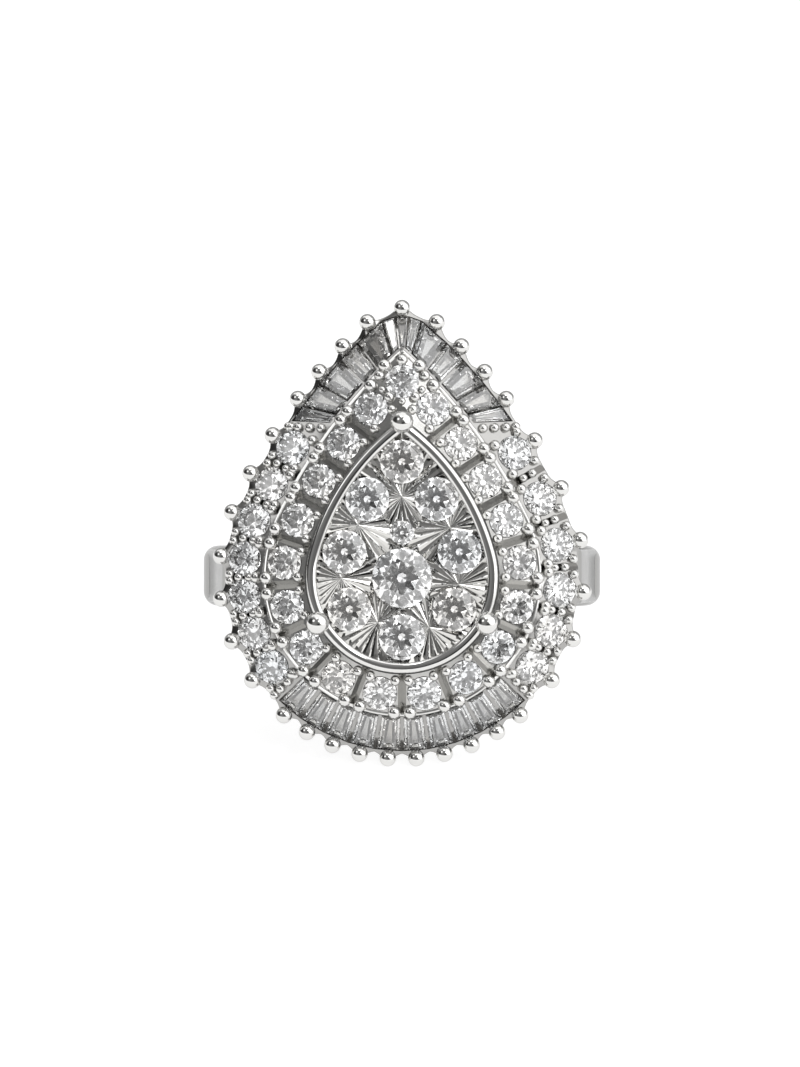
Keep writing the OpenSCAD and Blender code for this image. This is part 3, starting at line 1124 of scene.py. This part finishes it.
@dataclass
class OuterTier:
    """Steeper tier of the outer halo: seats for round stones, and channels for the fans of baguettes.

    Attributes:
        inner_r: Round end of the outline at its inner edge.
        thickness: Its thickness.
        edge: Rounding of its edges.
        trough: Round end of its outer edge between two posts.
        peak: How far the edge swells out to a post.
        spread: How far to each side of a post it does so, as a squared length.
        depth: Depth of a channel.
        clear: How far a channel's tool reaches up.
        groove: Width of a groove.
        groove_depth: Depth of a groove.
        groove_length: Length of a groove.
        steps: Points round the tier.
    """

    inner_r: float = 6.65
    thickness: float = 0.95
    edge: float = 0.06
    trough: float = 8.79
    peak: float = 0.31
    spread: float = 0.2
    depth: float = 0.75
    clear: float = 1.0
    groove: float = 0.4
    groove_depth: float = 0.25
    groove_length: float = 3.2
    steps: int = 480

    def scalloped(self) -> Loop:
        """Draws the outer edge, which swells out to each post.

        Returns:
            Its outline, at height 0.
        """
        posts = [place.point for place in POSTS.all()]
        near = (POSTS.post_r - LEVELS.rail_r) ** 2
        plain = ROUNDED.outline(self.trough, self.steps)
        swollen = ROUNDED.outline(self.trough + self.peak, self.steps)
        rim = []
        for point, out in zip(plain, swollen):
            away = min((out - post).length_squared for post in posts)
            rim.append(point.lerp(out, math.exp(-max(0.0, away - near) / self.spread)))
        return rim

    def channel(self, edges: Sequence[tuple[Vector, Vector]]) -> bpy.types.Object:
        """Makes the tool of the channel for a fan of baguettes.

        Args:
            edges: Inner and outer end of each line between two stones.

        Returns:
            The tool, open at the top, with its floor at the tier's slope.
        """
        top = LEVELS.outer_top + self.clear
        frames = []
        for inner, outer in edges:
            past = GAP * (outer - inner).normalized()
            inside, outside = inner - past, outer + past
            frames.append([
                raised(inside, LEVELS.outer(STONES.cell_in) - self.depth),
                raised(outside, LEVELS.outer(STONES.cell_out) - self.depth),
                raised(outside, top), raised(inside, top),
            ])
        return new_object(bridged(frames, closed=False), "channel")

    def grooves(self) -> bpy.types.Object:
        """Makes the grooves between neighbouring round stones.

        Returns:
            The tool.
        """
        bm = bmesh.new()
        for place in STONES.between_sides():
            add_groove(bm, place.matrix(), self.groove_length, self.groove, self.groove_depth)
        return new_object(bm, "grooves")

    def build(self) -> bpy.types.Object:
        """Bridges the tier's outlines, then cuts seats, grooves and channels.

        Returns:
            The dressed piece.
        """
        rim = self.scalloped()
        inside = ROUNDED.outline(self.inner_r, self.steps)
        low, high = LEVELS.outer(self.inner_r), LEVELS.outer(LEVELS.rail_r)
        loops = [
            [raised(p, low - self.thickness) for p in inside], [raised(p, high - self.thickness) for p in rim],
            [raised(p, high) for p in rim], [raised(p, low) for p in inside],
        ]
        tier = new_object(bridged(loops, closed=True, soft=self.edge), "outer_tier")
        carve_away(tier, [
            Seat(STONES.side_d).tool(p.matrix() for p in STONES.sides()), self.grooves(),
            self.channel(STONES.base_edges()), self.channel(STONES.tip_edges()),
        ])
        # The tier's darker tint is painted shade under the edge stones.
        return dress(tier, PAINTED_SHADE_UNDER_EDGE_STONES)


@dataclass(frozen=True)
class Bead:
    """A setting bead.

    Attributes:
        out: How far out from a stone's middle it sits.
        along: How far to each side it sits.
        radius: Its radius.
    """

    out: float
    along: float
    radius: float


@dataclass
class SettingBeads:
    """Small beads pushed over the edges of the halo stones, and the polished rail above the step.

    Attributes:
        inner: Beads of an inner halo stone.
        outer: Beads of an outer halo stone.
        filling: Beads half way between two outer halo stones.
        ends: Where beads sit along each end of a fan of baguettes, as parts of its length.
        end_gap: Distance of those beads from the fan.
        end_r: Their radius.
        up: Height of a bead's middle over the tier.
        tip: Middle and radius of each further bead round the tip stone.
        rail_r: Round end of the outline that the rail follows.
        rail_wire: Radius of the rail.
        rail_sides: Faces round the rail.
        rail_steps: Points along the rail.
    """

    inner: tuple[Bead, ...] = (Bead(-0.8, 0.64, 0.26), Bead(0.8, 0.87, 0.34))
    outer: tuple[Bead, ...] = (Bead(-0.72, 0.84, 0.28), Bead(0.7, 0.84, 0.24))
    filling: tuple[Bead, ...] = (Bead(-0.3, 0.0, 0.22), Bead(0.25, 0.0, 0.24))
    ends: tuple[float, ...] = (0.12, 0.42, 0.72, 0.98)
    end_gap: float = 0.34
    end_r: float = 0.25
    up: float = 0.08
    tip: tuple[tuple[float, float, float, float], ...] = (
        (0.0, 10.78, 12.92, 0.3), (0.0, 8.72, 13.2, 0.2), (1.12, 10.0, 12.85, 0.28), (-1.12, 10.0, 12.85, 0.28),
        (0.98, 9.3, 12.98, 0.2), (-0.98, 9.3, 12.98, 0.2),
    )
    rail_r: float = 6.84
    rail_wire: float = 0.09
    rail_sides: int = 8
    rail_steps: int = 320

    def past_fans(self) -> list[Vector]:
        """Places the beads beside the ends of both fans.

        Returns:
            Their middles.
        """
        spots = []
        for edges in (STONES.base_edges(), STONES.tip_edges()):
            for edge, beside in ((edges[0], edges[1]), (edges[-1], edges[-2])):
                away = self.end_gap * (edge[0] + edge[1] - beside[0] - beside[1]).normalized()
                for part in self.ends:
                    radius = STONES.cell_in + part * (STONES.cell_out - STONES.cell_in)
                    spots.append(raised(edge[0].lerp(edge[1], part) + away, LEVELS.outer(radius) + self.up))
        return spots

    def by_stones(self) -> list[tuple[Matrix, float]]:
        """Places the beads beside and between the round stones.

        Returns:
            The place and the radius of each.
        """
        rows = (
            (STONES.halo(), self.inner), (STONES.sides(), self.outer), (STONES.between_sides(), self.filling),
        )
        spots = []
        for places, beads in rows:
            for place in places:
                for bead in beads:
                    for along in (-bead.along, bead.along) if bead.along else (0.0,):
                        shift = Matrix.Translation((bead.out, along, self.up))
                        spots.append((place.matrix() @ shift, bead.radius))
        return spots

    def build(self) -> bpy.types.Object:
        """Sets the beads round the stones.

        Returns:
            The dressed piece.
        """
        bm = bmesh.new()
        spots = [(Matrix.Translation(spot), self.end_r) for spot in self.past_fans()]
        spots += self.by_stones()
        spots += [(Matrix.Translation((x, y, z)), radius) for x, y, z, radius in self.tip]
        for spot, radius in spots:
            bmesh.ops.create_icosphere(bm, subdivisions=2, radius=radius, matrix=spot)
        return dress(new_object(bm, "setting_beads"), BRIGHT, crease=60)

    def rail(self) -> bpy.types.Object:
        """Carries a thin wire round the inner tier's edge."""
        wire = pear_section(self.rail_r, LEVELS.inner(self.rail_r), self.rail_wire, self.rail_sides)
        return dress(new_object(carried(HALO, wire, self.rail_steps), "step_rail"), BRIGHT)


@dataclass
class ClusterPlate:
    """Plate under the cluster, bright-cut in seven sunbursts between the stones.

    Attributes:
        stones: Middle and diameter of each stone.
        suns: Middle of each sunburst.
        rays: Rays of a whole sunburst.
        reach: Length of a ray.
        dip: Depth of the cut between two rays, as a part of the distance from the middle.
        floor: Height up to which the plate is solid.
        plate_r: Round end of its outline.
        overlap: How far a sunburst reaches into the solid plate.
        steps: Points round the plate.
    """

    stones: tuple[tuple[float, float, float], ...] = (
        (0, 5.72, 2.2), (-1.72, 3.86, 2.2), (1.72, 3.86, 2.2), (0, 2.2, 1.2), (-2.85, 1.25, 2.2),
        (2.85, 1.25, 2.2), (0, -0.05, 3), (-2.6, -1.6, 2.2), (2.6, -1.6, 2.2), (0, -2.98, 2.3),
    )
    suns: tuple[tuple[float, float], ...] = (
        (0, 3.98), (-2.19, 2.59), (2.39, 2.44), (-2.99, -0.05), (2.79, -0.35), (-1.19, -2.24), (1.34, -2.49),
    )
    rays: int = 24
    reach: float = 4.6
    dip: float = 0.11
    floor: float = 13.0
    plate_r: float = 4.3
    overlap: float = 0.2
    steps: int = 200

    def sunburst(self, sun: Vector) -> bpy.types.Object:
        """Makes one sunburst up to the lines half way to its neighbours.

        Args:
            sun: Its middle.

        Returns:
            A closed solid with sloping rays on top.
        """
        bm = bmesh.new()
        place = Matrix.Translation(raised(sun, LEVELS.plate))
        made = bmesh.ops.create_circle(
            bm, cap_ends=True, cap_tris=True, segments=2 * self.rays, radius=self.reach, matrix=place,
        )
        rim = [v for v in made["verts"] if (v.co - place.translation).length > NEAR]
        rim.sort(key=lambda v: math.atan2(v.co.y - sun.y, v.co.x - sun.x))
        bmesh.ops.translate(bm, verts=rim[::2], vec=(0, 0, -self.dip * self.reach))
        for x, y in self.suns:
            other = Vector((x, y, 0))
            if (other - sun).length > NEAR:
                bmesh.ops.bisect_plane(
                    bm, geom=[*bm.verts, *bm.edges, *bm.faces], plane_co=(sun + other) / 2,
                    plane_no=other - sun, clear_outer=True,
                )
        for vert in extruded(bm, bm.faces[:]):
            vert.co.z = self.floor - self.overlap
        return new_object(bm, "sunburst")

    def build(self) -> bpy.types.Object:
        """Joins the plate and its sunbursts, cut to the pear and by the seats.

        Returns:
            The dressed piece.
        """
        seats = [Seat(d).tool([Matrix.Translation((x, y, LEVELS.plate))]) for x, y, d in self.stones]
        outline = CLUSTER.outline(self.plate_r, self.steps)
        edge = new_object(prism(outline, LEVELS.ledge, LEVELS.rim), "edge")
        parts = [new_object(prism(outline, LEVELS.ledge + GAP, self.floor), "cluster_plate")]
        for x, y in self.suns:
            part = self.sunburst(Vector((x, y, 0)))
            carve(part, edge, Cut.SHARED)
            parts.append(part)
        for part in parts:
            for seat in seats:
                carve(part, seat, Cut.AWAY)
        bm = bmesh.new()
        for part in parts:
            bm.from_mesh(part.data)
        discard([*seats, edge, *parts])
        return dress(new_object(bm, "cluster_plate"), BRIGHT_CUT, crease=12)


@dataclass
class Rim:
    """Polished wall round the cluster, with a domed crest.

    Attributes:
        inside: Round end of the pear on its inner side.
        outside: Round end of the pear on its outer side.
        foot: Height of its lower edge.
        dome: How far the crest rises over the wall's sides.
        turns: Faces over the crest.
        steps: Points round the pear.
    """

    inside: float = 4.25
    outside: float = 4.75
    foot: float = 12.38
    dome: float = 0.15
    turns: int = 12
    steps: int = 320

    def build(self) -> bpy.types.Object:
        """Carries the wall's section round the cluster's pear.

        Returns:
            The dressed piece.
        """
        middle, half = (self.inside + self.outside) / 2, (self.outside - self.inside) / 2
        crest = [math.pi * i / self.turns for i in range(self.turns + 1)]
        section = [(self.inside, self.foot), (self.outside, self.foot)] + [
            (middle + half * math.cos(a), LEVELS.rim - self.dome + self.dome * math.sin(a)) for a in crest
        ]
        return dress(new_object(carried(CLUSTER, section, self.steps), "rim"), BRIGHT)


@dataclass
class Claws:
    """Three claws that hold the cluster's rim, each with a large ball.

    Attributes:
        wire: Radius of a claw.
        ball_r: Radius of a ball.
        ball_sides: Faces round its equator.
        foot_z: Height of a claw's foot.
        ball_z: Height of a ball's middle.
        places: Foot's x and y and ball's x and y of each claw.
    """

    wire: float = 0.25
    ball_r: float = 0.57
    ball_sides: int = 40
    foot_z: float = 12.6
    ball_z: float = 14.57
    places: tuple[tuple[float, float, float, float], ...] = (
        (0, 8.2, 0, 7.68), (4.61, -2.19, 4.18, -2.28), (-4.61, -2.19, -4.18, -2.28),
    )

    def build(self) -> bpy.types.Object:
        """Stands a wire at each foot and sets a ball over the rim.

        Returns:
            The dressed piece.
        """
        bm = bmesh.new()
        for foot_x, foot_y, x, y in self.places:
            foot = Vector((foot_x, foot_y, self.foot_z))
            add_wire(bm, foot, raised(foot, self.ball_z), self.wire)
            add_ball(bm, Vector((x, y, self.ball_z)), self.ball_r, self.ball_sides)
        return dress(new_object(bm, "claws"), BRIGHT)


@dataclass(frozen=True)
class Glow:
    """A round patch of the studio's light.

    Attributes:
        towards: Direction in which it lies, in the row frame.
        radius: Its angular radius in degrees.
        soft: Width of its soft edge in degrees.
        level: Its brightness.
    """

    towards: tuple[float, float, float]
    radius: float
    soft: float
    level: float


@dataclass
class Studio:
    """Pale floor, soft light and camera.

    Attributes:
        aim: Point in the ring's own frame at which the camera looks.
        elevation: Height of the camera above the horizon, in degrees.
        distance: Distance of the camera, in metres.
        height: Height of the picture at the ring, in metres.
        floor_front: How far in front of the ring the floor starts, in metres.
        floor_reach: Half of its width, in metres.
        base: Brightness of the room between the glows.
        glows: Patches of light, the later ones over the earlier.
    """

    aim: tuple[float, float, float] = (-0.1, 2.16, 12.0)
    elevation: float = 20.2342
    distance: float = 0.35
    height: float = 0.05308
    floor_front: float = -0.25
    floor_reach: float = 2.0
    base: float = 0.4
    glows: tuple[Glow, ...] = (
        Glow((0.0, -0.99, -0.05), 34, 14, 0.12),
        Glow((-0.55, -0.6, 0.5), 42, 14, 0.24),
        Glow((-0.95, -0.1, 0.3), 28, 12, 0.05),
        Glow((-0.59, -0.48, 0.64), 11, 6, 1.5),
        Glow((0.1, 0.15, 0.98), 30, 10, 1.3),
        Glow((-0.47, 0.45, 0.76), 12, 5, 1.2),
        Glow((0.78, -0.3, 0.55), 37, 8, 1.7),
        Glow((0.0, -0.94, 0.34), 14, 8, 0.17),
        Glow((0.17, -0.98, 0.06), 10, 4, 0.01),
        Glow((0.25, -0.7, 0.66), 4, 2, 7.0),
        Glow((0.6, -0.75, 0.25), 4, 2, 6.0),
        Glow((-0.1, -0.3, 0.95), 5, 2, 6.0),
    )

    def camera(self) -> None:
        """Creates the camera and makes it the scene's."""
        data = bpy.data.cameras.new("camera")
        data.sensor_width = 36.0
        data.lens = data.sensor_width * self.distance / self.height
        data.clip_start, data.clip_end = 0.01, 20.0
        made = bpy.data.objects.new("camera", data)
        angle = math.radians(self.elevation)
        back = Vector((0, -math.cos(angle), math.sin(angle)))
        made.location = REST @ Vector(self.aim) + self.distance * back
        made.rotation_euler = back.to_track_quat("Z", "Y").to_euler()
        bpy.context.scene.collection.objects.link(made)
        bpy.context.scene.camera = made

    def floor(self) -> None:
        """Lays the table top, far behind the ring and a little way in front of it."""
        bm = bmesh.new()
        bmesh.ops.create_grid(bm, x_segments=1, y_segments=1, size=self.floor_reach)
        bmesh.ops.translate(bm, verts=bm.verts[:], vec=(0, self.floor_front + self.floor_reach, 0))
        mesh = bpy.data.meshes.new("floor")
        bm.to_mesh(mesh)
        bm.free()
        made = bpy.data.objects.new("floor", mesh)
        bpy.context.scene.collection.objects.link(made)
        mesh.materials.append(TableTop("pale floor").material())

    def light(self) -> None:
        """Builds the studio's light from the glows, the later ones over the earlier."""
        world = bpy.data.worlds.new("studio")
        world.use_nodes = True
        tree = world.node_tree
        where = tree.nodes.new("ShaderNodeTexCoord").outputs["Generated"]
        level = None
        for glow in self.glows:
            near = tree.nodes.new("ShaderNodeVectorMath")
            near.operation = "DOT_PRODUCT"
            near.inputs[1].default_value = Vector(glow.towards).normalized()
            tree.links.new(where, near.inputs[0])
            edge = tree.nodes.new("ShaderNodeMapRange")
            edge.interpolation_type = "SMOOTHSTEP"
            edge.inputs["From Min"].default_value = math.cos(math.radians(glow.radius + glow.soft / 2))
            edge.inputs["From Max"].default_value = math.cos(math.radians(glow.radius - glow.soft / 2))
            tree.links.new(near.outputs["Value"], edge.inputs["Value"])
            over = tree.nodes.new("ShaderNodeMix")
            over.inputs["A"].default_value = self.base
            over.inputs["B"].default_value = glow.level
            tree.links.new(edge.outputs["Result"], over.inputs["Factor"])
            if level:
                tree.links.new(level, over.inputs["A"])
            level = over.outputs["Result"]
        tree.links.new(level, tree.nodes["Background"].inputs["Strength"])
        tree.nodes["Background"].inputs["Color"].default_value = (1, 1, 1, 1)
        bpy.context.scene.world = world

    def build(self) -> None:
        """Sets up floor, light and camera, and how light is followed through the stones."""
        self.floor()
        self.light()
        self.camera()
        scene = bpy.context.scene
        scene.view_settings.view_transform = "Standard"
        scene.cycles.max_bounces = 24
        scene.cycles.transmission_bounces = 20
        scene.cycles.glossy_bounces = 8
        scene.cycles.use_denoising = True


@dataclass
class HaloRing:
    """The whole ring: metal pieces built here, stones as packed.

    Attributes:
        underframe: Collet and gallery wire.
        beads: Setting beads and rail.
    """

    underframe: Underframe = field(default_factory=Underframe)
    beads: SettingBeads = field(default_factory=SettingBeads)

    def mount(self) -> list[bpy.types.Object]:
        """Builds the pieces of the ring mount.

        Returns:
            The dressed pieces.
        """
        builders: list[Callable[[], bpy.types.Object]] = [
            Band().build, Shoulders().build, self.underframe.collet, self.underframe.gallery, EdgePosts().build,
            InnerTier().build, OuterTier().build, self.beads.build, self.beads.rail, Claws().build,
        ]
        return [build() for build in builders]

    def cluster(self) -> list[bpy.types.Object]:
        """Builds the pieces of the cluster's frame."""
        return [ClusterPlate().build(), Rim().build()]

    def stones(self) -> None:
        """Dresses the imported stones."""
        for name, node in frame["nodes"].items():
            if "stone" in name or "baguettes" in name:
                node.data.materials.clear()
                node.data.materials.append((SOFT if "baguettes" in name else CLEAR).material())
                log.info("%s: %d faces", name, len(node.data.polygons))


def main() -> None:
    """Builds the ring and its setting."""
    logging.basicConfig(level=logging.INFO, format="%(message)s")
    ring = HaloRing()
    for piece in ring.mount():
        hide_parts("ring_mount")
    for piece in ring.cluster():
        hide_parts("cluster_frame")
    ring.stones()
    Studio().build()


if __name__ == "__main__":
    main()
